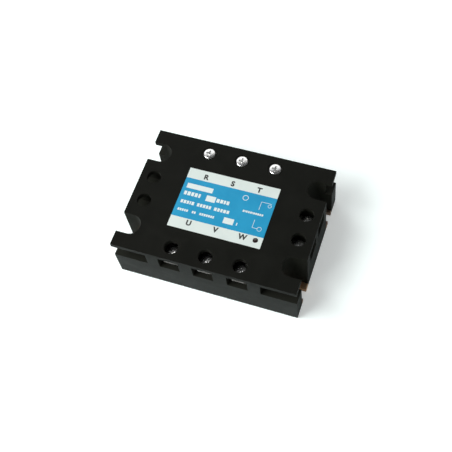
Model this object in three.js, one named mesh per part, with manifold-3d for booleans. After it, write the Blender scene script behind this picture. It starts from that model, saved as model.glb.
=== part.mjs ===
// Three-phase solid state relay: one moulded housing over a copper heat-transfer plate, with
// three line terminals at the rear, three load terminals at the front and two control terminals
// on the right. Millimetres, +Z up, origin at the centre of the plate's underside, +X along the
// long side. Each terminal is a screw with its captive clamp plate: the rear three are backed out
// until the head is flush with the top, and the front three and the two control screws are screwed
// down on their bars.

import * as THREE from "three";
import { mergeVertices } from "three/addons/utils/BufferGeometryUtils.js";
import ManifoldModule from "manifold-3d";

const wasm = await ManifoldModule();
wasm.setup();

// ---------------------------------------------------------------- driving dimensions

const LENGTH = 105;
const WIDTH = 77;
const HEIGHT = 32.4;
const GAP = 0.3; // clearance kept between neighbouring pieces
const HALF_X = LENGTH / 2;
const HALF_Y = WIDTH / 2;

const PLATE_THICKNESS = 3;
const SKIRT_WALL = 1.9; // housing wall around the plate
const ROOF_UNDERSIDE = 29.4; // top of the wire windows
const CHAMBER_FLOOR = 20; // bottom of the wire windows
const CAVITY_TOP = 28.5;
const CAVITY_HALF_X = 36.5;
const CAVITY_HALF_Y = 22;

const MOUNT_SPACING_X = 92; // centre to centre of the four mounting slots
const MOUNT_SPACING_Y = 50;
const MOUNT_SLOT_WIDTH = 5.5; // slot in the plate, for an M5 screw
const NOTCH_WIDTH = 11.7; // opening in the housing for the screw head and washer
const NOTCH_CENTRE_X = 46.2;
const NOTCH_CENTRE_Y = 24;
const EAR_PAD = 0.1; // raised face round each mounting slot, for the washer

const PHASE_PITCH = 19.5;
const POWER_AXIS_Y = 31;
const CONTROL_AXIS_X = 44.5;
const CONTROL_PITCH = 15.4;
const WELL_RADIUS = 4;

const END_SLOT_INNER_X = 32.5; // the slots at the four corners run from here to the end face
const END_SLOT_DEPTH = 5.5;
const END_SLOT_OPEN_X = 48.3; // past here each slot breaks into the mounting notch beside it

const LABEL_LENGTH = 53;
const LABEL_WIDTH = 38;
const LABEL_THICKNESS = 0.15;
const LED_X = 22.7;
const LED_Y = -14.7;
const LED_RADIUS = 1.3;
const LED_TOP = HEIGHT + 0.4;

const SUBSTRATE = { length: 36, width: 16, thickness: 1 };
const CHIP = { side: 8, thickness: 0.8, offset: 6 };
const BOARD = { length: 68, width: 32, thickness: 1.6, underside: 14 };
const BOARD_TOP = BOARD.underside + BOARD.thickness;
const POTTING_TOP = 9;
const POST = { x: 31, y: 13.6, radius: 1.8 }; // four posts under the roof, which hold the board

// Everything about one size of terminal. Its own frame has the screw axis at the origin and the
// wire window towards -Y; reach is how far the outer face is from the axis.
const POWER = {
  reach: HALF_Y - POWER_AXIS_Y,
  inside: CAVITY_HALF_Y - 1.4,
  axis: POWER_AXIS_Y,
  windowWidth: 11.6,
  chamberBack: 6.3,
  barWidth: 8,
  barThickness: 1.2,
  foot: { underside: PLATE_THICKNESS + SUBSTRATE.thickness + 2 * GAP, length: 5.3 },
  shankRadius: 1.95,
  shankLength: 12,
  headRadius: 3.6,
  headHeight: 3,
  nutAcrossFlats: 7,
  nutHeight: 3.2,
  clampWidth: 7.6,
  clampDepth: 10,
};
const CONTROL = {
  reach: HALF_X - CONTROL_AXIS_X,
  inside: CAVITY_HALF_X - 1.4,
  axis: CONTROL_AXIS_X,
  windowWidth: 11.4,
  chamberBack: 5.7,
  barWidth: 6.4,
  barThickness: 1.2,
  foot: { underside: BOARD_TOP + GAP, length: 3.2 },
  shankRadius: 1.7,
  shankLength: 12,
  headRadius: 3.3,
  headHeight: 2.6,
  nutAcrossFlats: 6,
  nutHeight: 2.8,
  clampWidth: 7,
  clampDepth: 9.4,
};
const BAR_UNDERSIDE = CHAMBER_FLOOR + GAP;
const BAR_INSET = 3; // how far the end of a bar lies inside the wire window
const LANDING_PAD = 0.1; // raised face on each bar, which the wire is pressed on
const CLAMP_PLATE = 1;
const CLAMP_RIB = 0.4;
const CLAMP_HEIGHT = CLAMP_PLATE + CLAMP_RIB;
const LIFTED = ROOF_UNDERSIDE - GAP - CLAMP_HEIGHT; // underside of a clamp plate under the roof
const LOWERED = 22.2; // underside of a clamp plate screwed down
const SCREW_TIP_ROOM = 5.8; // hole below the nut for the screw's end

// ---------------------------------------------------------------- materials

function material(color, roughness, metalness) {
  return new THREE.MeshStandardMaterial({ color, roughness, metalness });
}

const MATERIALS = {
  housing: material(0x232220, 0.55, 0),
  copper: material(0xb5673a, 0.35, 1),
  label: material(0x2f9bcd, 0.4, 0),
  lens: material(0x3a1512, 0.2, 0),
  zinc: material(0xc9ccce, 0.25, 1),
  tin: material(0xbfc1c0, 0.35, 1),
  brass: material(0xb9994f, 0.35, 1),
  ceramic: material(0xe8e4da, 0.6, 0),
  silicon: material(0x50555c, 0.3, 0.6),
  board: material(0x1d5a34, 0.5, 0),
  package: material(0x1b1b1d, 0.5, 0),
  capacitor: material(0xc8a13a, 0.4, 0),
  resistor: material(0x7fa9b8, 0.5, 0),
  resin: material(0xa9a596, 0.3, 0),
};

// ---------------------------------------------------------------- solids

function solidOf(geometry) {
  const bare = geometry.index ? geometry.toNonIndexed() : geometry.clone();
  bare.deleteAttribute("normal");
  bare.deleteAttribute("uv");
  const merged = mergeVertices(bare, 1e-5);
  return new wasm.Manifold(new wasm.Mesh({
    numProp: 3,
    vertProperties: new Float32Array(merged.attributes.position.array),
    triVerts: new Uint32Array(merged.index.array),
  }));
}

function geometryOf(solid) {
  const mesh = solid.getMesh();
  const geometry = new THREE.BufferGeometry();
  geometry.setAttribute("position", new THREE.BufferAttribute(mesh.vertProperties, 3));
  geometry.setIndex(new THREE.BufferAttribute(mesh.triVerts, 1));
  geometry.computeVertexNormals();
  return geometry;
}

// a box from its lowest to its highest corner
function block(low, high) {
  const size = high.map((value, axis) => value - low[axis]);
  const box = new THREE.BoxGeometry(...size);
  box.translate(...low.map((value, axis) => value + size[axis] / 2));
  return solidOf(box);
}

// an upright round bar
function rod(x, y, radius, bottom, top, sides = 24) {
  const cylinder = new THREE.CylinderGeometry(radius, radius, top - bottom, sides);
  cylinder.rotateX(Math.PI / 2);
  cylinder.translate(x, y, (bottom + top) / 2);
  return solidOf(cylinder);
}

// an upright prism over an outline
function prism(shape, bottom, top, curveSegments = 12) {
  const depth = top - bottom;
  const body = new THREE.ExtrudeGeometry(shape, { depth, bevelEnabled: false, curveSegments });
  body.translate(0, 0, bottom);
  return solidOf(body);
}

function union(solids) {
  return solids.reduce((sum, solid) => sum.add(solid));
}

function cut(solid, tools) {
  return solid.subtract(union(tools));
}

// the four combinations of side signs
const CORNERS = [[-1, -1], [1, -1], [-1, 1], [1, 1]];

// a slot open towards +X or -X, round at its inner end
function openSlot(sideX, centreX, centreY, radius, outerX) {
  const shape = new THREE.Shape();
  shape.moveTo(sideX * outerX, centreY - radius);
  shape.lineTo(sideX * outerX, centreY + radius);
  shape.lineTo(sideX * centreX, centreY + radius);
  const from = Math.PI / 2;
  shape.absarc(sideX * centreX, centreY, radius, from, -from, sideX < 0);
  shape.closePath();
  return shape;
}

function notches(radius, centreX, centreY, bottom, top) {
  const segments = 10;
  return CORNERS.map(([sideX, sideY]) => {
    const outline = openSlot(sideX, centreX, sideY * centreY, radius, HALF_X + 2);
    return prism(outline, bottom, top, segments);
  });
}

// ---------------------------------------------------------------- housing and plate

// The plate fills the skirt and reaches out to the end faces inside the four notches. A low pad
// stands round each slot, where the washer of the mounting screw presses.
function plateOutline(clear, bottom, top) {
  const halfX = HALF_X - SKIRT_WALL - GAP + clear;
  const halfY = HALF_Y - SKIRT_WALL - GAP + clear;
  const body = block([-halfX, -halfY, bottom], [halfX, halfY, top]);
  const ears = [-1, 1].map((side) => {
    const half = NOTCH_WIDTH / 2 - GAP + clear;
    const centre = side * NOTCH_CENTRE_Y;
    return block([-HALF_X, centre - half, bottom], [HALF_X, centre + half, top]);
  });
  return union([body, ...ears]);
}

function basePlate() {
  const padTop = PLATE_THICKNESS + EAR_PAD;
  const padRadius = NOTCH_WIDTH / 2 - GAP;
  const slotRadius = MOUNT_SLOT_WIDTH / 2;
  const pads = union(notches(padRadius, NOTCH_CENTRE_X, NOTCH_CENTRE_Y, 1, padTop));
  const slots = notches(slotRadius, MOUNT_SPACING_X / 2, MOUNT_SPACING_Y / 2, -1, padTop + 1);
  const sheet = plateOutline(0, 0, PLATE_THICKNESS);
  const withinEnds = block([-HALF_X, -HALF_Y, -1], [HALF_X, HALF_Y, padTop + 1]);
  return cut(sheet.add(pads.intersect(withinEnds)), slots);
}

// The space for one terminal, in the terminal's own frame.
function terminalSpace(kind, withContact) {
  const half = kind.windowWidth / 2;
  const outer = -kind.reach - 1;
  const tools = [
    block([-half, outer, CHAMBER_FLOOR], [half, kind.chamberBack, ROOF_UNDERSIDE]),
    rod(0, 0, WELL_RADIUS, ROOF_UNDERSIDE - 1, HEIGHT + 1, 32),
  ];
  if (withContact) {
    const barHalf = kind.barWidth / 2 + GAP;
    const nutHalf = kind.nutAcrossFlats / 2 + GAP;
    const nutReach = kind.nutAcrossFlats / Math.sqrt(3) + GAP;
    const nutFloor = CHAMBER_FLOOR - kind.nutHeight - GAP;
    const cavity = kind.axis - kind.inside + 1;
    const slitTop = BAR_UNDERSIDE + kind.barThickness + GAP;
    tools.push(
      block([-barHalf, 0, CHAMBER_FLOOR], [barHalf, cavity, slitTop]),
      block([-nutReach, -nutHalf, nutFloor], [nutReach, nutHalf, CHAMBER_FLOOR + 1]),
      rod(0, 0, kind.shankRadius + GAP, nutFloor - SCREW_TIP_ROOM, nutFloor + 1, 16),
    );
  }
  return union(tools);
}

// the part of a corner slot that lies outside the given x and y
function endSlot([sideX, sideY], innerX, innerY) {
  const x = [innerX * sideX, (HALF_X + 1) * sideX].sort((a, b) => a - b);
  const y = [innerY * sideY, (HALF_Y + 1) * sideY].sort((a, b) => a - b);
  return block([x[0], y[0], CHAMBER_FLOOR], [x[1], y[1], ROOF_UNDERSIDE]);
}

function housing() {
  const shell = block([-HALF_X, -HALF_Y, GAP], [HALF_X, HALF_Y, HEIGHT]);
  const cavity = block(
    [-CAVITY_HALF_X, -CAVITY_HALF_Y, PLATE_THICKNESS],
    [CAVITY_HALF_X, CAVITY_HALF_Y, CAVITY_TOP],
  );
  const posts = CORNERS.map(([sideX, sideY]) =>
    rod(sideX * POST.x, sideY * POST.y, POST.radius, BOARD_TOP + GAP, CAVITY_TOP + 0.5, 12));
  const endSlots = CORNERS.flatMap((corner) => [
    endSlot(corner, END_SLOT_INNER_X, HALF_Y - END_SLOT_DEPTH),
    endSlot(corner, END_SLOT_OPEN_X, NOTCH_CENTRE_Y),
  ]);
  const terminals = TERMINALS.map((terminal) =>
    placed(terminalSpace(terminal.kind, terminal.fitted), terminal));
  return cut(shell, [
    cut(cavity, posts),
    plateOutline(GAP, -1, PLATE_THICKNESS + GAP),
    rod(LED_X, LED_Y, LED_RADIUS + 0.2, CAVITY_TOP - 1, HEIGHT + 1, 16),
    ...notches(NOTCH_WIDTH / 2, NOTCH_CENTRE_X, NOTCH_CENTRE_Y, -1, HEIGHT + 1),
    ...endSlots,
    ...terminals,
  ]);
}

function label() {
  const sheet = block(
    [-LABEL_LENGTH / 2, -LABEL_WIDTH / 2, HEIGHT],
    [LABEL_LENGTH / 2, LABEL_WIDTH / 2, HEIGHT + LABEL_THICKNESS],
  );
  return cut(sheet, [rod(LED_X, LED_Y, LED_RADIUS + 0.2, HEIGHT - 1, HEIGHT + 1, 16)]);
}

function statusLed() {
  const flangeBottom = 25.6;
  const flangeTop = 26.6;
  const shoulder = LED_TOP - 0.7;
  const profile = [
    [0, flangeBottom],
    [1.9, flangeBottom],
    [1.9, flangeTop],
    [LED_RADIUS, flangeTop],
    [LED_RADIUS, shoulder],
    [1.1, LED_TOP - 0.2],
    [0, LED_TOP],
  ].map(([radius, z]) => new THREE.Vector2(radius, z));
  const body = new THREE.LatheGeometry(profile, 16);
  body.rotateX(Math.PI / 2);
  const leads = [-0.65, 0.65].map((x) =>
    block([x - 0.25, -0.25, BOARD_TOP + GAP], [x + 0.25, 0.25, flangeBottom + 0.2]));
  return union([solidOf(body), ...leads]);
}

// ---------------------------------------------------------------- terminal pieces

function screw(kind) {
  const tip = -kind.shankLength;
  const profile = [
    [0, tip],
    [kind.shankRadius - 0.5, tip],
    [kind.shankRadius, tip + 0.6],
    [kind.shankRadius, 0],
    [kind.headRadius, 0],
    [kind.headRadius, kind.headHeight * 0.45],
    [kind.headRadius * 0.86, kind.headHeight * 0.8],
    [kind.headRadius * 0.5, kind.headHeight * 0.97],
    [0, kind.headHeight],
  ].map(([radius, z]) => new THREE.Vector2(radius, z));
  const body = new THREE.LatheGeometry(profile, 16);
  body.rotateX(Math.PI / 2);
  const long = kind.headRadius * 0.58;
  const half = 0.5;
  const depth = kind.headHeight * 0.5;
  return cut(solidOf(body), [
    block([-long, -half, depth], [long, half, kind.headHeight + 1]),
    block([-half, -long, depth], [half, long, kind.headHeight + 1]),
  ]);
}

function clampPlate(kind) {
  const halfX = kind.clampWidth / 2;
  const back = 4.6;
  const front = back - kind.clampDepth;
  const top = CLAMP_HEIGHT;
  const plate = block([-halfX, front, CLAMP_RIB], [halfX, back, top]);
  const ribs = [-1, 1].map((side) =>
    block([-halfX, side * 3.1 - 0.5, 0], [halfX, side * 3.1 + 0.5, CLAMP_RIB + 0.2]));
  return cut(union([plate, ...ribs]), [rod(0, 0, kind.shankRadius + GAP, -1, top + 1, 16)]);
}

function terminalBar(kind) {
  const half = kind.barWidth / 2;
  const top = BAR_UNDERSIDE + kind.barThickness;
  const leg = kind.axis - kind.inside;
  const outer = leg + kind.barThickness;
  const footBottom = kind.foot.underside;
  const end = -kind.reach + BAR_INSET;
  const strap = block([-half, end, BAR_UNDERSIDE], [half, outer, top]);
  const holeRadius = kind.shankRadius + 0.35;
  const pad = block(
    [-half + GAP, end, BAR_UNDERSIDE],
    [half - GAP, -holeRadius - 0.2, top + LANDING_PAD],
  );
  const upright = block([-half, leg, footBottom], [half, outer, top]);
  const foot = block(
    [-half, leg, footBottom],
    [half, outer + kind.foot.length, footBottom + kind.barThickness],
  );
  const hole = rod(0, 0, holeRadius, BAR_UNDERSIDE - 1, top + 1, 16);
  return cut(union([strap, pad, upright, foot]), [hole]);
}

function hexNut(kind) {
  const radius = kind.nutAcrossFlats / Math.sqrt(3);
  const hexagon = new THREE.CylinderGeometry(radius, radius, kind.nutHeight, 6);
  hexagon.rotateX(Math.PI / 2);
  hexagon.rotateZ(Math.PI / 2);
  hexagon.translate(0, 0, CHAMBER_FLOOR - kind.nutHeight / 2);
  const bore = rod(0, 0, kind.shankRadius + 0.2, 0, HEIGHT, 16);
  return cut(solidOf(hexagon), [bore]);
}

// ---------------------------------------------------------------- circuit pieces

function circuitBoard() {
  const { length, width, underside } = BOARD;
  return block([-length / 2, -width / 2, underside], [length / 2, width / 2, BOARD_TOP]);
}

function substrate() {
  const bottom = PLATE_THICKNESS + GAP;
  const { length, width, thickness } = SUBSTRATE;
  return block([-width / 2, -length / 2, bottom], [width / 2, length / 2, bottom + thickness]);
}

function chip() {
  const bottom = PLATE_THICKNESS + SUBSTRATE.thickness + 2 * GAP;
  const half = CHIP.side / 2;
  return block([-half, -half, bottom], [half, half, bottom + CHIP.thickness]);
}

// a six-pin optocoupler with its legs on the board
function optocoupler() {
  const seat = BOARD_TOP + GAP;
  const body = block([-3.2, -4.4, seat + 0.6], [3.2, 4.4, seat + 4]);
  const legs = [-2.54, 0, 2.54].flatMap((y) => [
    block([-3.9, y - 0.3, seat], [-3.1, y + 0.3, seat + 2.2]),
    block([3.1, y - 0.3, seat], [3.9, y + 0.3, seat + 2.2]),
  ]);
  return union([body, ...legs]);
}

function snubberCapacitor() {
  const seat = BOARD_TOP + GAP;
  return block([-6.5, -2.5, seat], [6.5, 2.5, seat + 10]);
}

function snubberResistor() {
  const seat = BOARD_TOP + GAP;
  const lift = 2.6;
  const radius = 1.8;
  const body = new THREE.CylinderGeometry(radius, radius, 9, 12);
  body.rotateZ(Math.PI / 2);
  body.translate(0, 0, seat + lift);
  const leads = [-1, 1].flatMap((side) => {
    const inner = side * 4;
    const outer = side * 6.2;
    const x = [Math.min(inner, outer), Math.max(inner, outer)];
    return [
      block([x[0], -0.35, seat + lift - 0.35], [x[1], 0.35, seat + lift + 0.35]),
      block([outer - 0.35, -0.35, seat], [outer + 0.35, 0.35, seat + lift + 0.35]),
    ];
  });
  return union([solidOf(body), ...leads]);
}

// the transistor that limits the control current: a half-round package on three legs
function inputTransistor() {
  const seat = BOARD_TOP + GAP;
  const package_ = new THREE.Shape();
  package_.absarc(0, 0, 2.4, -0.45, Math.PI + 0.45, false);
  package_.closePath();
  const body = prism(package_, seat + 2, seat + 7, 8);
  const legs = [-1.27, 0, 1.27].map((x) =>
    block([x - 0.22, 0.1, seat], [x + 0.22, 0.54, seat + 2.4]));
  return union([body, ...legs]);
}

// the pins that carry the gate signals from the board to one pair of chips
function gateHeader() {
  const bottom = PLATE_THICKNESS + SUBSTRATE.thickness + 2 * GAP;
  const top = BOARD.underside - GAP;
  const strip = block([-4.2, -1.2, top - 2.4], [4.2, 1.2, top]);
  const pins = [-3, -1, 1, 3].map((x) =>
    block([x - 0.3, -0.3, bottom], [x + 0.3, 0.3, top - 2]));
  return union([strip, ...pins]);
}

// The resin covers the chips. It is cut back from every piece that stands in it.
function pottingResin() {
  const bottom = PLATE_THICKNESS + GAP;
  const slab = block(
    [-CAVITY_HALF_X + GAP, -CAVITY_HALF_Y + GAP, bottom],
    [CAVITY_HALF_X - GAP, CAVITY_HALF_Y - GAP, POTTING_TOP],
  );
  const chipTop = PLATE_THICKNESS + SUBSTRATE.thickness + 2 * GAP + CHIP.thickness;
  const footTop = POWER.foot.underside + POWER.barThickness;
  const halfWidth = SUBSTRATE.width / 2 + GAP;
  const halfLength = SUBSTRATE.length / 2 + GAP;
  const halfChip = CHIP.side / 2 + GAP;
  const halfBar = POWER.barWidth / 2 + GAP;
  const legOuter = POWER.inside + GAP;
  const legInner = POWER.inside - POWER.barThickness - GAP;
  const footInner = legInner - POWER.foot.length;
  const tools = PHASES.flatMap((x) => [
    block([x - halfWidth, -halfLength, bottom - 1],
      [x + halfWidth, halfLength, bottom + SUBSTRATE.thickness + GAP]),
    block([x - 4.5, -1, bottom], [x + 4.5, 1, POTTING_TOP + 1]),
    ...[-1, 1].flatMap((side) => {
      const chipY = side * CHIP.offset;
      const leg = [legInner * side, legOuter * side].sort((a, b) => a - b);
      const foot = [footInner * side, legOuter * side].sort((a, b) => a - b);
      return [
        block([x - halfChip, chipY - halfChip, bottom],
          [x + halfChip, chipY + halfChip, chipTop + GAP]),
        block([x - halfBar, leg[0], bottom - 1], [x + halfBar, leg[1], POTTING_TOP + 1]),
        block([x - halfBar, foot[0], bottom], [x + halfBar, foot[1], footTop + GAP]),
      ];
    }),
  ]);
  return cut(slab, tools);
}

// ---------------------------------------------------------------- layout

const PHASES = [-PHASE_PITCH, 0, PHASE_PITCH];

function powerTerminals(names, y, turn, clampAt) {
  return names.map((name, index) =>
    ({ name, kind: POWER, x: PHASES[index], y, turn, clampAt, fitted: true }));
}

function sideTerminals(names, x, turn, fitted) {
  return names.map((name, index) => {
    const y = (index ? 0.5 : -0.5) * CONTROL_PITCH;
    return { name, kind: CONTROL, x, y, turn, clampAt: LOWERED, fitted };
  });
}

const TERMINALS = [
  ...powerTerminals(["r", "s", "t"], POWER_AXIS_Y, Math.PI, LIFTED),
  ...powerTerminals(["u", "v", "w"], -POWER_AXIS_Y, 0, LOWERED),
  ...sideTerminals(["control_minus", "control_plus"], CONTROL_AXIS_X, Math.PI / 2, true),
  ...sideTerminals(["blank_front", "blank_rear"], -CONTROL_AXIS_X, -Math.PI / 2, false),
];

// a solid in a terminal's frame, moved to where the terminal stands
function placed(solid, { x, y, turn }) {
  const geometry = geometryOf(solid);
  geometry.rotateZ(turn);
  geometry.translate(x, y, 0);
  return solidOf(geometry);
}

function mesh(name, solid, paint, position = [0, 0, 0]) {
  const piece = new THREE.Mesh(geometryOf(solid), MATERIALS[paint]);
  piece.name = name;
  piece.position.set(...position);
  return piece;
}

function terminalGroup({ name, kind, x, y, turn, clampAt }) {
  const group = new THREE.Group();
  group.position.set(x, y, 0);
  group.rotation.z = turn;
  group.add(
    mesh(`screw_${name}`, screw(kind), "zinc", [0, 0, clampAt + CLAMP_HEIGHT + GAP]),
    mesh(`clamp_plate_${name}`, clampPlate(kind), "zinc", [0, 0, clampAt]),
    mesh(`terminal_bar_${name}`, terminalBar(kind), "tin"),
    mesh(`captive_nut_${name}`, hexNut(kind), "brass"),
  );
  return group;
}

function phaseGroup(x, number) {
  const group = new THREE.Group();
  group.position.set(x, 0, 0);
  group.add(
    mesh(`ceramic_substrate_${number}`, substrate(), "ceramic"),
    mesh(`thyristor_front_${number}`, chip(), "silicon", [0, -CHIP.offset, 0]),
    mesh(`thyristor_rear_${number}`, chip(), "silicon", [0, CHIP.offset, 0]),
    mesh(`gate_header_${number}`, gateHeader(), "package"),
    mesh(`optocoupler_${number}`, optocoupler(), "package", [0, -6, 0]),
    mesh(`snubber_resistor_${number}`, snubberResistor(), "resistor", [0, 3.5, 0]),
    mesh(`snubber_capacitor_${number}`, snubberCapacitor(), "capacitor", [0, 10.5, 0]),
  );
  return group;
}

const relay = new THREE.Group();
relay.add(
  mesh("housing", housing(), "housing"),
  mesh("base_plate", basePlate(), "copper"),
  mesh("label", label(), "label"),
  mesh("status_led", statusLed(), "lens", [LED_X, LED_Y, 0]),
  mesh("circuit_board", circuitBoard(), "board"),
  mesh("input_transistor", inputTransistor(), "package", [29, 0, 0]),
  mesh("potting_resin", pottingResin(), "resin"),
);
TERMINALS.filter((terminal) => terminal.fitted)
  .forEach((terminal) => relay.add(terminalGroup(terminal)));
PHASES.forEach((x, index) => relay.add(phaseGroup(x, index + 1)));

export default relay;
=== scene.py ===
"""Looks of a three-phase solid state relay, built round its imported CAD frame.

Millimetres in the constants and helpers, metres in Blender. +X is the long side towards the two
control terminals, +Y is towards the line terminals, +Z is up.
"""

import math

import bmesh
import bpy
from mathutils import Euler, Matrix, Vector


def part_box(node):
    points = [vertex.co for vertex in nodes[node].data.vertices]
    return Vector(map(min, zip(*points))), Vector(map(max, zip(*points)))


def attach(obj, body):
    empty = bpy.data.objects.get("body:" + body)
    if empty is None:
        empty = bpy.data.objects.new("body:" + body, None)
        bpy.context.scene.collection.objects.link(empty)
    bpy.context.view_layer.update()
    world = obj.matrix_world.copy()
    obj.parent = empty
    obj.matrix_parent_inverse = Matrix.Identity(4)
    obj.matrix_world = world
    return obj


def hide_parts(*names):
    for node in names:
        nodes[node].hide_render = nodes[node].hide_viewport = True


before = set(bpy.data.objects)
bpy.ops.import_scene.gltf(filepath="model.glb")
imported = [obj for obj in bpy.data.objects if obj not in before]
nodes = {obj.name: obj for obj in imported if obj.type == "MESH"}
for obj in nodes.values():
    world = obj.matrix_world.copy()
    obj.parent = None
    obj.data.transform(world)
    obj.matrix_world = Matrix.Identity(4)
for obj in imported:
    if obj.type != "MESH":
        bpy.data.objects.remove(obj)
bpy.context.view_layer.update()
MM = 0.001

# ------------------------------------------------------------------ driving values

CAMERA_AT = (107.45, -194.18, 418.25)
CAMERA_TARGET = (0.42, -2.93, 16.0)
CAMERA_ROLL = -11.71  # degrees
CAMERA_LENS = 64.98  # for a sensor 36 mm wide

HOUSING_EDGE = 0.4  # radius of the moulded edges
PLATE_EDGE = 0.2
CLAMP_EDGE = 0.16
BAR_EDGE = 0.08
EDGE_WEAR_AND_HIGHLIGHT = 2.0  # how much paler the plastic is on a rounded edge, against its light tone: partly rubbing wear, partly a painted highlight
RECESS_PAINTED_LIGHT = 2.6  # the same for the inside of the wells, windows and notches, as painted light
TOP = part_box("housing")[1].z / MM
LABEL_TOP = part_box("label")[1].z / MM
HALF_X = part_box("housing")[1].x / MM
HALF_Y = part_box("housing")[1].y / MM
PRINT_THICKNESS = 0.02
PRINT_SUNK = 0.01  # how far the print reaches into the label

PHASES = (-19.5, 0.0, 19.5)
POWER_NAMES = ("r", "s", "t", "u", "v", "w")
CONTROL_NAMES = ("control_minus", "control_plus")
TERMINALS = POWER_NAMES + CONTROL_NAMES
POWER_SCREW = {"pitch": 0.7, "head": 3.0, "shank": 1.95}  # thread pitch, head height, shank radius
CONTROL_SCREW = {"pitch": 0.6, "head": 2.6, "shank": 1.7}
HEAD_SIDES = 48
SHANK_SIDES = 32
ROWS_PER_TURN = 8  # rows of vertices in one turn of the thread

BLUE_BAND = (-12.3, 12.6)  # lower and upper edge of the blue part of the label
MARK_HEIGHT = 3.4
MARK_WEIGHT = 0.20  # how far the strokes are thickened on each side
MARK_SPREAD = 0.79  # pitch of the marks against the pitch of the screws
FINE_LINE = 0.24
RING_LINE = 0.32
PAINTED_LIT_EAR_Y = -20.0  # the copper is left bright near this line as painted light, and painted darker elsewhere as painted shade
WHITE_INK = (0.72, 0.80, 0.78)
DARK_INK = (0.02, 0.022, 0.02)

FLOOR_HALF = 3.0  # metres
FLOOR_DROP = 0.0002  # metres below the object
FLOOR_GLOW = 0.35  # glow near the object; it rises to 1 far away
GLOW_FADE = (200, 900)  # distances between which it rises
LIGHT_TARGET = Vector((0, 0, 0.016))  # metres


# ------------------------------------------------------------------ material helpers


class Paint:
    """A material under construction, with its object coordinates in millimetres."""

    def __init__(self, name):
        self.material = bpy.data.materials.new(name)
        self.material.use_nodes = True
        self.tree = self.material.node_tree
        self.shader = self.tree.nodes["Principled BSDF"]
        where = self.node("ShaderNodeTexCoord")
        scale = self.node("ShaderNodeMapping")
        scale.inputs["Scale"].default_value = (1 / MM, 1 / MM, 1 / MM)
        self.link(where.outputs["Object"], scale.inputs["Vector"])
        self.millimetres = scale.outputs["Vector"]

    def node(self, kind, **settings):
        made = self.tree.nodes.new(kind)
        for key, value in settings.items():
            setattr(made, key, value)
        return made

    def link(self, source, target):
        self.tree.links.new(source, target)

    def feed(self, socket, value):
        """Gives a socket a colour, a number or another node's output."""
        if isinstance(value, tuple):
            socket.default_value = (*value, 1.0)
        elif isinstance(value, (int, float)):
            socket.default_value = value
        else:
            self.link(value, socket)

    def stretched(self, scale):
        """The coordinates multiplied along each axis."""
        mapping = self.node("ShaderNodeMapping")
        mapping.inputs["Scale"].default_value = scale
        self.link(self.millimetres, mapping.inputs["Vector"])
        return mapping.outputs["Vector"]

    def noise(self, scale, detail=4.0, roughness=0.55, vector=None, distortion=0.0):
        made = self.node("ShaderNodeTexNoise")
        made.inputs["Scale"].default_value = scale
        made.inputs["Detail"].default_value = detail
        made.inputs["Roughness"].default_value = roughness
        made.inputs["Distortion"].default_value = distortion
        self.link(vector or self.millimetres, made.inputs["Vector"])
        return made.outputs["Fac"]

    def ramp(self, value, stops):
        """Maps a value through (position, colour) stops."""
        made = self.node("ShaderNodeValToRGB")
        ramp = made.color_ramp
        while len(ramp.elements) < len(stops):
            ramp.elements.new(0.5)
        for element, (position, colour) in zip(ramp.elements, stops):
            element.position = position
            element.color = (*colour, 1.0)
        self.link(value, made.inputs["Fac"])
        return made.outputs["Color"]

    def span(self, value, low, high, source=(0.3, 0.7)):
        """Maps a value from one range to another."""
        made = self.node("ShaderNodeMapRange")
        made.inputs["From Min"].default_value = source[0]
        made.inputs["From Max"].default_value = source[1]
        made.inputs["To Min"].default_value = low
        made.inputs["To Max"].default_value = high
        self.link(value, made.inputs["Value"])
        return made.outputs["Result"]

    def math(self, operation, first, second):
        made = self.node("ShaderNodeMath", operation=operation)
        for socket, value in zip(made.inputs, (first, second)):
            self.feed(socket, value)
        return made.outputs["Value"]

    def mix(self, factor, first, second, blend="MIX"):
        """Mixes two colours, each a tuple or an output."""
        made = self.node("ShaderNodeMix", data_type="RGBA", blend_type=blend)
        sockets = made.inputs[0], made.inputs[6], made.inputs[7]  # factor and two colours
        for socket, value in zip(sockets, (factor, first, second)):
            self.feed(socket, value)
        return made.outputs[2]

    def axis(self, index):
        split = self.node("ShaderNodeSeparateXYZ")
        self.link(self.millimetres, split.inputs["Vector"])
        return split.outputs[index]

    def bump(self, height, strength, distance=0.05, after=None):
        """Relief in millimetres, on top of an earlier bump."""
        made = self.node("ShaderNodeBump")
        made.inputs["Strength"].default_value = strength
        made.inputs["Distance"].default_value = distance * MM
        self.link(height, made.inputs["Height"])
        if after is not None:
            self.link(after, made.inputs["Normal"])
        return made.outputs["Normal"]

    def set(self, **values):
        """Sets or links the shader's sockets by name, with _ for a space."""
        for key, value in values.items():
            self.feed(self.shader.inputs[key.replace("_", " ")], value)


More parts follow.
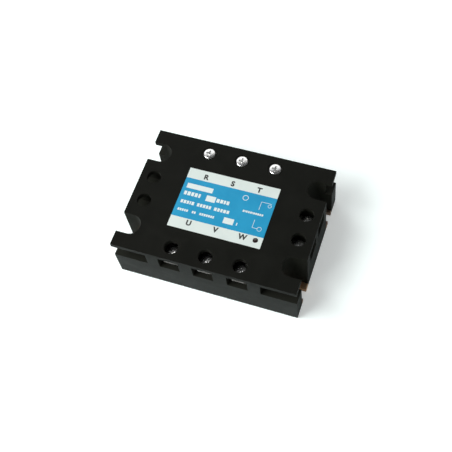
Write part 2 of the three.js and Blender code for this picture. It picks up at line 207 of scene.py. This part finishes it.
def moulded_plastic(name, dark, light):
    """Spark-eroded moulded plastic: fine grain, faint flow marks, and rounded edges painted paler,
    partly as rubbing wear and partly as a painted highlight.

    The shine fades towards the top, and is least inside the wells, notches and windows, whose colour
    is painted paler as painted light.
    """
    paint = Paint(name)
    blotches = paint.noise(0.06, detail=5, roughness=0.6, distortion=0.6)
    flow = paint.noise(0.35, detail=3, vector=paint.stretched((1.0, 1.0, 0.35)))
    grains = paint.noise(5.0, detail=3, roughness=0.6)
    base = paint.ramp(blotches, ((0.35, dark), (0.65, light)))
    base = paint.mix(paint.span(grains, 0.0, 0.35), base, tuple(c * 1.7 for c in light))
    edge = paint.node("ShaderNodeAttribute", attribute_name="rounding")
    # painted highlight and rubbing wear: the rounded edges are painted paler in patches
    edge_wear_and_highlight = paint.math("MULTIPLY", edge.outputs["Fac"], paint.span(paint.noise(0.5), 0.1, 0.75))
    base = paint.mix(edge_wear_and_highlight, base, tuple(c * EDGE_WEAR_AND_HIGHLIGHT for c in light))
    scuffs = paint.noise(1.1, detail=6, roughness=0.7, vector=paint.stretched((0.25, 1.6, 1.0)))
    rough = paint.math("ADD", paint.span(blotches, 0.40, 0.50), paint.span(scuffs, -0.03, 0.05))
    relief = paint.bump(grains, 0.35, 0.03)
    relief = paint.bump(flow, 0.20, 0.10, after=relief)
    # painted light: the faces inside the wells, notches and windows are painted paler than the outer
    # faces
    inside = paint.node("ShaderNodeAttribute", attribute_name="recess").outputs["Fac"]
    painted_recess_light = paint.span(inside, 0.0, 0.8, (0.0, 1.0))
    base = paint.mix(painted_recess_light, base, tuple(c * RECESS_PAINTED_LIGHT for c in light))
    shine = paint.span(paint.axis(2), 0.13, 0.07, (8.0, 31.0))
    shine = paint.math("MULTIPLY", shine, paint.span(inside, 1.0, 0.25, (0.0, 1.0)))
    paint.set(Base_Color=base, Roughness=rough, Normal=relief, Specular_IOR_Level=shine)
    return paint.material


def plated_metal(name, colour, tint, roughness, streak=(1.0, 1.0, 1.0)):
    """Bright plated metal with faint rubbing marks and uneven passivation."""
    paint = Paint(name)
    clouds = paint.noise(0.45, detail=4, distortion=0.4)
    marks = paint.noise(3.0, detail=5, roughness=0.65, vector=paint.stretched(streak))
    base = paint.ramp(clouds, ((0.35, colour), (0.7, tint)))
    base = paint.mix(paint.span(marks, 0.0, 0.25), base, tuple(c * 0.55 for c in tint))
    low, high = roughness
    relief = paint.bump(marks, 0.25, 0.012)
    paint.set(Base_Color=base, Metallic=1.0, Roughness=paint.span(marks, low, high), Normal=relief)
    return paint.material


def copper_sheet(name):
    """Rolled copper: marks along X, brown oxide in patches, and painted shade (a dull brown-grey)
    away from one line over the front ear, where the copper is left bright as painted light.
    """
    paint = Paint(name)
    rolling = paint.noise(2.2, detail=5, roughness=0.65, vector=paint.stretched((0.05, 1.6, 1.6)))
    oxide = paint.noise(0.16, detail=6, roughness=0.62, distortion=0.8)
    stops = ((0.36, (0.98, 0.66, 0.40)), (0.55, (0.92, 0.52, 0.28)), (0.8, (0.55, 0.30, 0.16)))
    base = paint.mix(paint.span(rolling, 0.0, 0.3), paint.ramp(oxide, stops), (0.95, 0.66, 0.46))
    # painted light and shade: bright copper near one line over the front ear, painted dull brown-grey
    # farther away
    away = paint.math("ABSOLUTE", paint.math("SUBTRACT", paint.axis(1), PAINTED_LIT_EAR_Y), 0.0)
    painted_copper_shade = paint.span(away, 0.0, 0.85, (3.0, 7.5))
    base = paint.mix(painted_copper_shade, base, (0.40, 0.29, 0.24))
    rough = paint.math("ADD", paint.span(rolling, 0.36, 0.48), paint.span(oxide, -0.02, 0.12))
    relief = paint.bump(rolling, 0.3, 0.015)
    paint.set(Base_Color=base, Metallic=1.0, Roughness=rough, Normal=relief)
    return paint.material


def printed_film(name):
    """The label: a blue band between two white strips, under a slightly glossy film."""
    paint = Paint(name)
    wobble = paint.span(paint.noise(1.4, detail=2), -0.05, 0.05)
    across = paint.math("ADD", paint.axis(1), wobble)
    above = paint.math("GREATER_THAN", across, BLUE_BAND[0])
    below = paint.math("LESS_THAN", across, BLUE_BAND[1])
    band = paint.math("MULTIPLY", above, below)
    fade = paint.noise(0.07, detail=3)
    screen = paint.noise(7.0, detail=2, roughness=0.7)
    blue = paint.ramp(fade, ((0.35, (0.006, 0.255, 0.470)), (0.65, (0.012, 0.295, 0.520))))
    white = paint.ramp(fade, ((0.35, (0.64, 0.72, 0.685)), (0.65, (0.69, 0.76, 0.72))))
    blue = paint.mix(paint.span(screen, 0.0, 0.25), blue, (0.024, 0.34, 0.58))
    white = paint.mix(paint.span(screen, 0.0, 0.18), white, (0.60, 0.66, 0.63))
    base = paint.mix(band, white, blue)
    waves = paint.noise(0.12, detail=2)
    relief = paint.bump(waves, 0.5, 0.25)
    relief = paint.bump(screen, 0.12, 0.01, after=relief)
    paint.set(Base_Color=base, Roughness=paint.span(screen, 0.34, 0.46), Normal=relief, IOR=1.45)
    paint.set(Coat_Weight=0.10, Coat_Roughness=0.22, Specular_IOR_Level=0.35)
    return paint.material


def ink(name, colour):
    """Screen-printed ink with a slightly uneven coat."""
    paint = Paint(name)
    coat = paint.noise(4.0, detail=3, roughness=0.65)
    base = paint.mix(paint.span(coat, 0.0, 0.35), colour, tuple(c * 0.7 + 0.02 for c in colour))
    relief = paint.bump(coat, 0.2, 0.01)
    paint.set(Base_Color=base, Roughness=paint.span(coat, 0.38, 0.5), Normal=relief)
    return paint.material


def tinted_lens(name):
    """The dark red resin of an unlit indicator."""
    paint = Paint(name)
    swirl = paint.noise(1.2, detail=2)
    base = paint.ramp(swirl, ((0.35, (0.014, 0.008, 0.007)), (0.65, (0.026, 0.012, 0.010))))
    relief = paint.bump(paint.noise(3.0, detail=2), 0.1, 0.01)
    paint.set(Base_Color=base, Roughness=0.18, Normal=relief, IOR=1.52)
    paint.set(Coat_Weight=0.6, Coat_Roughness=0.08)
    return paint.material


def speckled(name, colour, other, roughness, scale=2.0, metallic=0.0):
    """A plain finish for the pieces inside: two close tones and a fine relief."""
    paint = Paint(name)
    tone = paint.noise(scale, detail=5, roughness=0.6)
    fine = paint.noise(scale * 6, detail=2)
    base = paint.ramp(tone, ((0.35, colour), (0.65, other)))
    low, high = roughness
    paint.set(
        Base_Color=base,
        Roughness=paint.span(fine, low, high),
        Metallic=metallic,
        Normal=paint.bump(fine, 0.3, 0.02),
    )
    return paint.material


HOUSING = moulded_plastic("housing_plastic", (0.0044, 0.0048, 0.0037), (0.0068, 0.0072, 0.0057))
COPPER = copper_sheet("copper_plate")
LABEL = printed_film("label_film")
LENS = tinted_lens("led_lens")
# painted shade: the clamp washers get a darker, rougher copy of the screws' zinc, for their place
# under the roof
SHADED_CLAMP_ZINC = plated_metal("zinc_steel_painted_shade", (0.36, 0.35, 0.34), (0.30, 0.29, 0.27), (0.30, 0.45))
ZINC = plated_metal("zinc_steel", (0.86, 0.87, 0.88), (0.80, 0.80, 0.77), (0.16, 0.30))
TIN = plated_metal(
    "tinned_copper", (0.78, 0.78, 0.76), (0.70, 0.69, 0.66), (0.30, 0.46), (0.2, 1.5, 1.5)
)
BRASS = plated_metal(
    "nut_brass", (0.80, 0.62, 0.30), (0.66, 0.47, 0.20), (0.25, 0.38), (1.5, 1.5, 0.3)
)
WHITE_PRINT = ink("white_ink", WHITE_INK)
DARK_PRINT = ink("dark_ink", DARK_INK)
# material of the pieces inside, by the start of the piece's name
INSIDE = {
    "ceramic_substrate": speckled("alumina", (0.80, 0.78, 0.73), (0.88, 0.86, 0.82), (0.5, 0.65)),
    "thyristor": speckled(
        "silicon_chip", (0.20, 0.21, 0.24), (0.30, 0.31, 0.34), (0.25, 0.4), 1.0, 0.6
    ),
    "gate_header": speckled(
        "header_epoxy", (0.025, 0.025, 0.028), (0.04, 0.04, 0.04), (0.45, 0.6)
    ),
    "optocoupler": speckled(
        "package_epoxy", (0.025, 0.025, 0.028), (0.04, 0.04, 0.045), (0.4, 0.6)
    ),
    "input_transistor": speckled(
        "transistor_epoxy", (0.02, 0.02, 0.02), (0.035, 0.035, 0.035), (0.4, 0.6)
    ),
    "snubber_resistor": speckled(
        "resistor_coat", (0.25, 0.44, 0.50), (0.32, 0.52, 0.58), (0.4, 0.6), 1.5
    ),
    "snubber_capacitor": speckled(
        "capacitor_case", (0.58, 0.36, 0.07), (0.68, 0.45, 0.10), (0.25, 0.4)
    ),
    "circuit_board": speckled(
        "board_laminate", (0.02, 0.16, 0.06), (0.04, 0.24, 0.10), (0.3, 0.5), 0.7
    ),
    "potting_resin": speckled("resin", (0.40, 0.38, 0.33), (0.48, 0.46, 0.40), (0.15, 0.35), 0.3),
    "captive_nut": BRASS,
}


# ------------------------------------------------------------------ mesh helpers


def add_object(name, mesh, material):
    """Links a mesh as an object, smooth except across sharp edges."""
    mesh.materials.clear()
    mesh.materials.append(material)
    mesh.polygons.foreach_set("use_smooth", [True] * len(mesh.polygons))
    mesh.set_sharp_from_angle(angle=math.radians(35.0))
    made = bpy.data.objects.new(name, mesh)
    bpy.context.scene.collection.objects.link(made)
    return made


def even_normals(made):
    """Keeps the large faces flat beside their rounded edges."""
    modifier = made.modifiers.new("even_normals", "WEIGHTED_NORMAL")
    modifier.keep_sharp = True
    modifier.weight = 80


def mesh_from(name, bm):
    mesh = bpy.data.meshes.new(name)
    bm.normal_update()
    bm.to_mesh(mesh)
    bm.free()
    return mesh


def cleaned_copy(name):
    """The CAD node's mesh with its flat faces whole again."""
    bm = bmesh.new()
    bm.from_mesh(nodes[name].data)
    for key in list(bm.loops.layers.float_vector.keys()):
        bm.loops.layers.float_vector.remove(bm.loops.layers.float_vector[key])
    bmesh.ops.remove_doubles(bm, verts=bm.verts[:], dist=2e-6)
    bmesh.ops.dissolve_limit(
        bm, angle_limit=math.radians(0.8), verts=bm.verts[:], edges=bm.edges[:], delimit=set()
    )
    return bm


def round_edges(bm, chosen, radius, segments):
    """Rounds the chosen edges and marks the new faces in the face attribute "rounding"."""
    layer = bm.faces.layers.float.new("rounding")
    made = bmesh.ops.bevel(
        bm,
        geom=chosen,
        offset=radius * MM,
        offset_type="OFFSET",
        segments=segments,
        profile=0.5,
        affect="EDGES",
        clamp_overlap=True,
        miter_outer="SHARP",
    )
    for face in made["faces"]:
        if face.is_valid:
            face[layer] = 1.0


def sharp_edges(bm, angle=30.0):
    """The edges where the surface turns outwards by more than this many degrees."""
    limit = math.radians(angle)
    return [
        edge
        for edge in bm.edges
        if len(edge.link_faces) == 2 and edge.calc_face_angle_signed(0.0) > limit
    ]


def on_outer_face(point):
    """True for a point on the outside faces of the housing."""
    x, y, z = (value / MM for value in point)
    near = 0.02
    return abs(z - TOP) < near or abs(abs(x) - HALF_X) < near or abs(abs(y) - HALF_Y) < near


def mark_recesses(bm):
    """Marks the faces inside the housing's outer box in the face attribute "recess"."""
    recess = bm.faces.layers.float.new("recess")
    rounding = bm.faces.layers.float["rounding"]
    for face in bm.faces:
        if face[rounding] < 0.5 and not on_outer_face(face.calc_center_median()):
            face[recess] = 1.0


def stand_in(node, piece_name, bm, material, body):
    """Adds the finished mesh in place of a CAD node."""
    made = add_object(piece_name, mesh_from(piece_name, bm), material)
    even_normals(made)
    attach(made, body)
    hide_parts(node)


# ------------------------------------------------------------------ housing, plate and label

led_low, led_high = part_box("status_led")
led_x = (led_low.x + led_high.x) / 2 / MM
led_y = (led_low.y + led_high.y) / 2 / MM


def visible_housing_edge(edge):
    """True for an edge on the outside faces, apart from the rim round the indicator."""
    middle = (edge.verts[0].co + edge.verts[1].co) / 2
    beside_led = math.hypot(middle.x / MM - led_x, middle.y / MM - led_y) < 3
    return on_outer_face(middle) and not beside_led


shell = cleaned_copy("housing")
round_edges(shell, [e for e in sharp_edges(shell) if visible_housing_edge(e)], HOUSING_EDGE, 3)
mark_recesses(shell)
stand_in("housing", "housing_moulding", shell, HOUSING, "relay")

plate = cleaned_copy("base_plate")
round_edges(plate, sharp_edges(plate), PLATE_EDGE, 2)
stand_in("base_plate", "copper_base", plate, COPPER, "relay")

for name in TERMINALS:
    clamp = cleaned_copy(f"clamp_plate_{name}")
    round_edges(clamp, sharp_edges(clamp, 40), CLAMP_EDGE, 2)
    clamp_node = f"clamp_plate_{name}"
    clamp_piece = f"clamp_washer_{name}"
    stand_in(clamp_node, clamp_piece, clamp, SHADED_CLAMP_ZINC, f"clamp_{name}")
    contact = cleaned_copy(f"terminal_bar_{name}")
    round_edges(contact, sharp_edges(contact, 40), BAR_EDGE, 2)
    contact_piece = f"contact_bar_{name}"
    stand_in(f"terminal_bar_{name}", contact_piece, contact, TIN, "relay")


# ------------------------------------------------------------------ screws


def head_outline(radius, height):
    """Half section of a pan head from its underside rim to the middle of its slightly domed top."""
    corner = 0.9
    dome = 0.16
    chamfer = 0.12
    corner_steps = 6
    flat = radius - corner
    points = [(radius - chamfer, 0.0), (radius, chamfer)]
    for step in range(corner_steps + 1):
        turn = math.pi / 2 * step / corner_steps
        z = height - dome - corner + corner * math.sin(turn)
        points.append((flat + corner * math.cos(turn), z))
    for share in (0.75, 0.5, 0.25, 0.0):
        points.append((flat * share, height - dome * share**2))
    return points


def lathe(outline, sides):
    """A closed solid of revolution. The first ring is capped, and the last point is on the axis."""
    bm = bmesh.new()
    rings = []
    for radius, z in outline:
        if radius < 1e-6:
            rings.append([bm.verts.new((0, 0, z * MM))])
            continue
        circle = []
        for k in range(sides):
            angle = 2 * math.pi * k / sides
            x = radius * math.cos(angle) * MM
            y = radius * math.sin(angle) * MM
            circle.append(bm.verts.new((x, y, z * MM)))
        rings.append(circle)
    for lower, upper in zip(rings, rings[1:]):
        for k in range(sides):
            after = (k + 1) % sides
            if len(upper) == 1:
                bm.faces.new((lower[k], lower[after], upper[0]))
            else:
                bm.faces.new((lower[k], lower[after], upper[after], upper[k]))
    bm.faces.new(list(reversed(rings[0])))
    return bm


def tapered_blade(length, width, floor, top, turn):
    """One bar of the cross that cuts the recess, shorter and narrower at its foot."""
    bm = bmesh.new()
    corners = []
    for z, long_share, wide_share in ((floor, 0.52, 0.8), (top, 1.0, 1.0)):
        half_l = length / 2 * long_share
        half_w = width / 2 * wide_share
        for x, y in ((-half_l, -half_w), (half_l, -half_w), (half_l, half_w), (-half_l, half_w)):
            corners.append(bm.verts.new((x * MM, y * MM, z * MM)))
    for face in ((3, 2, 1, 0), (4, 5, 6, 7), (0, 1, 5, 4), (1, 2, 6, 5), (2, 3, 7, 6), (3, 0, 4, 7)):
        bm.faces.new([corners[i] for i in face])
    bmesh.ops.rotate(bm, verts=bm.verts[:], cent=(0, 0, 0), matrix=Matrix.Rotation(turn, 3, "Z"))
    return bm


def cut_away(mesh, tools):
    """The mesh less the tools, by exact booleans."""
    body = bpy.data.objects.new("cut_body", mesh)
    bpy.context.scene.collection.objects.link(body)
    helpers = [body]
    for tool in tools:
        helper = bpy.data.objects.new("cut_tool", mesh_from("cut_tool", tool))
        bpy.context.scene.collection.objects.link(helper)
        helpers.append(helper)
        modifier = body.modifiers.new("cut", "BOOLEAN")
        modifier.operation = "DIFFERENCE"
        modifier.solver = "EXACT"
        modifier.object = helper
    graph = bpy.context.evaluated_depsgraph_get()
    result = bpy.data.meshes.new_from_object(body.evaluated_get(graph))
    for helper in helpers:
        bpy.data.objects.remove(helper)
    return result


def threaded_shank(radius, length, pitch):
    """A shank with a rolled right-hand thread from z = -length up into the head."""
    depth = 0.54 * pitch
    into_head = 0.2
    plain = 0.5  # unthreaded length under the head
    fade_in = 0.6  # length over which the thread reaches its full depth
    tip_length = 0.5
    tip_slope = 0.9
    rows = round(length / pitch * ROWS_PER_TURN)
    bm = bmesh.new()
    rings = []
    for row in range(rows + 1):
        z = -length + (length + into_head) * row / rows
        fade = min(1.0, max(0.0, (-z - plain) / fade_in))
        tip = max(0.0, tip_length - (z + length)) * tip_slope
        circle = []
        for k in range(SHANK_SIDES):
            phase = (z / pitch - k / SHANK_SIDES) % 1.0
            groove = depth * abs(2 * phase - 1)
            r = radius - groove * fade - tip
            angle = 2 * math.pi * k / SHANK_SIDES
            x = r * math.cos(angle) * MM
            y = r * math.sin(angle) * MM
            circle.append(bm.verts.new((x, y, z * MM)))
        rings.append(circle)
    for lower, upper in zip(rings, rings[1:]):
        for k in range(SHANK_SIDES):
            after = (k + 1) % SHANK_SIDES
            bm.faces.new((lower[k], lower[after], upper[after], upper[k]))
    bm.faces.new(list(reversed(rings[0])))
    bm.faces.new(rings[-1])
    return bm


def screw_mesh(node, sizes):
    """A pan-head screw with a cross recess, with its origin under the head."""
    low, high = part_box(node)
    radius = (high.x - low.x) / 2 / MM
    height = sizes["head"]
    head = mesh_from(node, lathe(head_outline(radius, height), HEAD_SIDES))
    recess_length = radius * 1.16
    recess_width = 0.95
    recess_floor = height * 0.36
    blades = [
        tapered_blade(recess_length, recess_width, recess_floor, height + 0.6, turn)
        for turn in (0.0, math.pi / 2)
    ]
    head = cut_away(head, blades)
    bm = threaded_shank(sizes["shank"], (high.z - low.z) / MM - height, sizes["pitch"])
    bm.from_mesh(head)
    return bm


def screw(name, sizes):
    """Puts a detailed screw in place of a terminal's plain one."""
    node = f"screw_{name}"
    low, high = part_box(node)
    bm = screw_mesh(node, sizes)
    place = Vector(((low.x + high.x) / 2, (low.y + high.y) / 2, high.z - sizes["head"] * MM))
    bmesh.ops.translate(bm, verts=bm.verts[:], vec=place)
    stand_in(node, f"clamp_screw_{name}", bm, ZINC, f"screw_{name}")


for name in TERMINALS:
    screw(name, POWER_SCREW if name in POWER_NAMES else CONTROL_SCREW)


# ------------------------------------------------------------------ label print


def flat_shape(bm, corners, bottom, top):
    """A thin prism over a flat outline."""
    lower = [bm.verts.new((x * MM, y * MM, bottom * MM)) for x, y in corners]
    upper = [bm.verts.new((x * MM, y * MM, top * MM)) for x, y in corners]
    count = len(corners)
    bm.faces.new(list(reversed(lower)))
    bm.faces.new(upper)
    for k in range(count):
        after = (k + 1) % count
        bm.faces.new((lower[k], lower[after], upper[after], upper[k]))


def bar(bm, x0, x1, y0, y1):
    """A printed rectangle."""
    corners = ((x0, y0), (x1, y0), (x1, y1), (x0, y1))
    flat_shape(bm, corners, LABEL_TOP - PRINT_SUNK, LABEL_TOP + PRINT_THICKNESS)


def stroke(bm, start, end, width):
    """A straight printed line."""
    along = Vector(end) - Vector(start)
    side = Vector((-along.y, along.x)).normalized() * width / 2
    first, last = Vector(start), Vector(end)
    corners = (first - side, last - side, last + side, first + side)
    flat_shape(bm, corners, LABEL_TOP - PRINT_SUNK, LABEL_TOP + PRINT_THICKNESS)


def ring(bm, centre, radius, width):
    """A printed circle, as short strokes."""
    sides = 24
    points = []
    for k in range(sides):
        angle = 2 * math.pi * k / sides
        points.append((centre[0] + radius * math.cos(angle), centre[1] + radius * math.sin(angle)))
    for k in range(sides):
        stroke(bm, points[k], points[(k + 1) % sides], width)


def filler_words(bm, x, y, height, widths):
    """Plain blocks in place of lettering: one run of blocks for each word."""
    gap = 0.22 * height
    for width in widths:
        bar(bm, x, x + width, y, y + height)
        x += width + gap


def printed(name, bm, material):
    """Adds a finished layer of print, which stays with the label."""
    made = add_object(name, mesh_from(name, bm), material)
    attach(made, "relay")


white = bmesh.new()
bar(white, -24.4, -9.2, 6.2, 9.3)
filler_words(white, -24.4, 1.7, 2.4, (1.5, 1.7, 1.5, 1.6, 1.2))
bar(white, -11.4, -6.0, 0.9, 4.5)
filler_words(white, -5.2, 1.7, 2.2, (1.6, 1.6, 1.1, 1.5))
filler_words(white, -24.4, -3.6, 2.0, (1.3, 1.4, 1.2, 0.7, 1.4))
filler_words(white, -14.8, -3.6, 2.0, (1.3, 1.2, 1.4, 1.2, 1.2))
filler_words(white, -4.9, -3.6, 2.0, (1.5, 1.3, 1.2, 1.5, 1.4))
filler_words(white, -24.4, -8.4, 1.4, (1.0, 0.9, 1.0, 0.9, 1.0))
filler_words(white, -16.0, -8.4, 1.4, (0.9, 0.9))
filler_words(white, -11.6, -8.4, 1.4, (1.0, 0.9, 1.0, 0.9, 1.0, 0.9, 0.8))
bar(white, 2.2, 8.0, -9.5, -5.9)
bar(white, 9.7, 10.3, -9.0, -7.4)
filler_words(white, 10.6, 0.1, 1.2, (0.9, 0.4, 0.9, 0.9, 0.9, 0.4, 0.9, 0.9, 0.9, 0.9, 0.9))
stroke(white, (18.8, 3.4), (18.8, 8.6), FINE_LINE)
stroke(white, (18.8, 8.6), (24.6, 8.6), FINE_LINE)
ring(white, (23.9, 7.0), 0.9, FINE_LINE)
stroke(white, (18.6, -2.9), (18.6, -7.8), FINE_LINE)
stroke(white, (18.6, -7.8), (21.2, -7.8), FINE_LINE)
ring(white, (22.6, -7.8), 1.2, FINE_LINE)
ring(white, (9.6, 8.7), 1.5, RING_LINE)
printed("label_print_white", white, WHITE_PRINT)


def letter_mesh(character, x, y, height):
    """A printed terminal mark."""
    capital_share = 0.7  # height of a capital against the font's size
    curve = bpy.data.curves.new(f"mark_{character}", "FONT")
    curve.body = character
    curve.size = (height - 2 * MARK_WEIGHT) / capital_share * MM
    curve.offset = MARK_WEIGHT * MM
    curve.extrude = PRINT_THICKNESS / 2 * MM
    curve.align_x = "CENTER"
    curve.align_y = "CENTER"
    source = bpy.data.objects.new("mark", curve)
    bpy.context.scene.collection.objects.link(source)
    graph = bpy.context.evaluated_depsgraph_get()
    mesh = bpy.data.meshes.new_from_object(source.evaluated_get(graph))
    bpy.data.objects.remove(source)
    xs = [v.co.x for v in mesh.vertices]
    ys = [v.co.y for v in mesh.vertices]
    centre = Vector(((min(xs) + max(xs)) / 2, (min(ys) + max(ys)) / 2, 0))
    place = Vector((x, y, LABEL_TOP + PRINT_THICKNESS / 2)) * MM
    mesh.transform(Matrix.Translation(place - centre))
    return mesh


dark = bmesh.new()
for characters, y in (("RST", 15.3), ("UVW", -14.6)):
    for character, x in zip(characters, PHASES):
        dark.from_mesh(letter_mesh(character, x * MARK_SPREAD, y, MARK_HEIGHT))
printed("label_print_dark", dark, DARK_PRINT)


def repaint(node, material):
    """Gives a CAD node that is shown as it is its material."""
    node.data.materials.clear()
    node.data.materials.append(material)


repaint(nodes["label"], LABEL)
repaint(nodes["status_led"], LENS)
for name, node in nodes.items():
    for start, material in INSIDE.items():
        if name.startswith(start):
            repaint(node, material)


# ------------------------------------------------------------------ floor, light and camera


def pale_floor():
    """White paper that glows for the camera only, more so far away. Its shadows stay faint."""
    bm = bmesh.new()
    half = FLOOR_HALF
    outline = ((-half, -half), (half, -half), (half, half), (-half, half))
    bm.faces.new([bm.verts.new((x, y, -FLOOR_DROP)) for x, y in outline])
    paint = Paint("floor_paper")
    tone = paint.noise(0.02, detail=2)
    white = paint.ramp(tone, ((0.3, (0.77, 0.86, 0.84)), (0.7, (0.79, 0.88, 0.86))))
    rays = paint.node("ShaderNodeLightPath")
    away = paint.node("ShaderNodeVectorMath", operation="LENGTH")
    paint.link(paint.millimetres, away.inputs[0])
    glow = paint.span(away.outputs["Value"], FLOOR_GLOW, 1.0, GLOW_FADE)
    glow = paint.math("MULTIPLY", rays.outputs["Is Camera Ray"], glow)
    paint.set(Base_Color=white, Roughness=0.9)
    paint.set(Emission_Color=(1.0, 1.0, 1.0), Emission_Strength=glow)
    floor = bpy.data.objects.new("floor", mesh_from("floor", bm))
    floor.data.materials.append(paint.material)
    bpy.context.scene.collection.objects.link(floor)


def soft_light(name, azimuth, elevation, distance, size, power, colour=(1.0, 1.0, 1.0)):
    """An area light aimed at the object. Azimuth 0 is at -Y and 90 at +X."""
    light = bpy.data.lights.new(name, "AREA")
    light.shape = "RECTANGLE"
    light.size, light.size_y = size
    light.energy = power
    light.color = colour
    a, e = math.radians(azimuth), math.radians(elevation)
    back = Vector((math.sin(a) * math.cos(e), -math.cos(a) * math.cos(e), math.sin(e)))
    made = bpy.data.objects.new(name, light)
    made.location = back * distance + LIGHT_TARGET
    made.rotation_euler = (-back).to_track_quat("-Z", "Y").to_euler()
    bpy.context.scene.collection.objects.link(made)


def studio_world():
    """Bright near the horizon and dim overhead, as in a light tent with an open top."""
    world = bpy.data.worlds.new("studio")
    bpy.context.scene.world = world
    world.use_nodes = True
    tree = world.node_tree
    background = tree.nodes["Background"]
    where = tree.nodes.new("ShaderNodeTexCoord")
    split = tree.nodes.new("ShaderNodeSeparateXYZ")
    ramp = tree.nodes.new("ShaderNodeValToRGB")
    horizon, overhead = ramp.color_ramp.elements
    horizon.position = 0.0
    horizon.color = (1.0, 1.0, 1.0, 1)
    overhead.position = 0.75
    overhead.color = (0.06, 0.06, 0.06, 1)
    tree.links.new(where.outputs["Generated"], split.inputs["Vector"])
    tree.links.new(split.outputs["Z"], ramp.inputs["Fac"])
    tree.links.new(ramp.outputs["Color"], background.inputs["Color"])
    background.inputs["Strength"].default_value = 1.0


pale_floor()
studio_world()
soft_light("key", 305, 50, 1.2, (0.8, 0.6), 15.0)
soft_light("rear_accent", 207, 46, 1.2, (1.1, 0.55), 2.6)
soft_light("right_fill", 100, 22, 1.3, (0.8, 0.4), 1.2, (0.90, 0.97, 1.0))

scene = bpy.context.scene
scene.view_settings.view_transform = "Standard"
scene.view_settings.look = "None"

camera_data = bpy.data.cameras.new("camera")
camera_data.sensor_width = 36.0
camera_data.lens = CAMERA_LENS
camera_data.clip_start = 0.01
camera_data.clip_end = 20.0
camera = bpy.data.objects.new("camera", camera_data)
aim = (Vector(CAMERA_TARGET) - Vector(CAMERA_AT)).to_track_quat("-Z", "Y")
roll = Euler((0, 0, math.radians(CAMERA_ROLL))).to_quaternion()
camera.rotation_mode = "QUATERNION"
camera.rotation_quaternion = aim @ roll
camera.location = Vector(CAMERA_AT) * MM
scene.collection.objects.link(camera)
scene.camera = camera
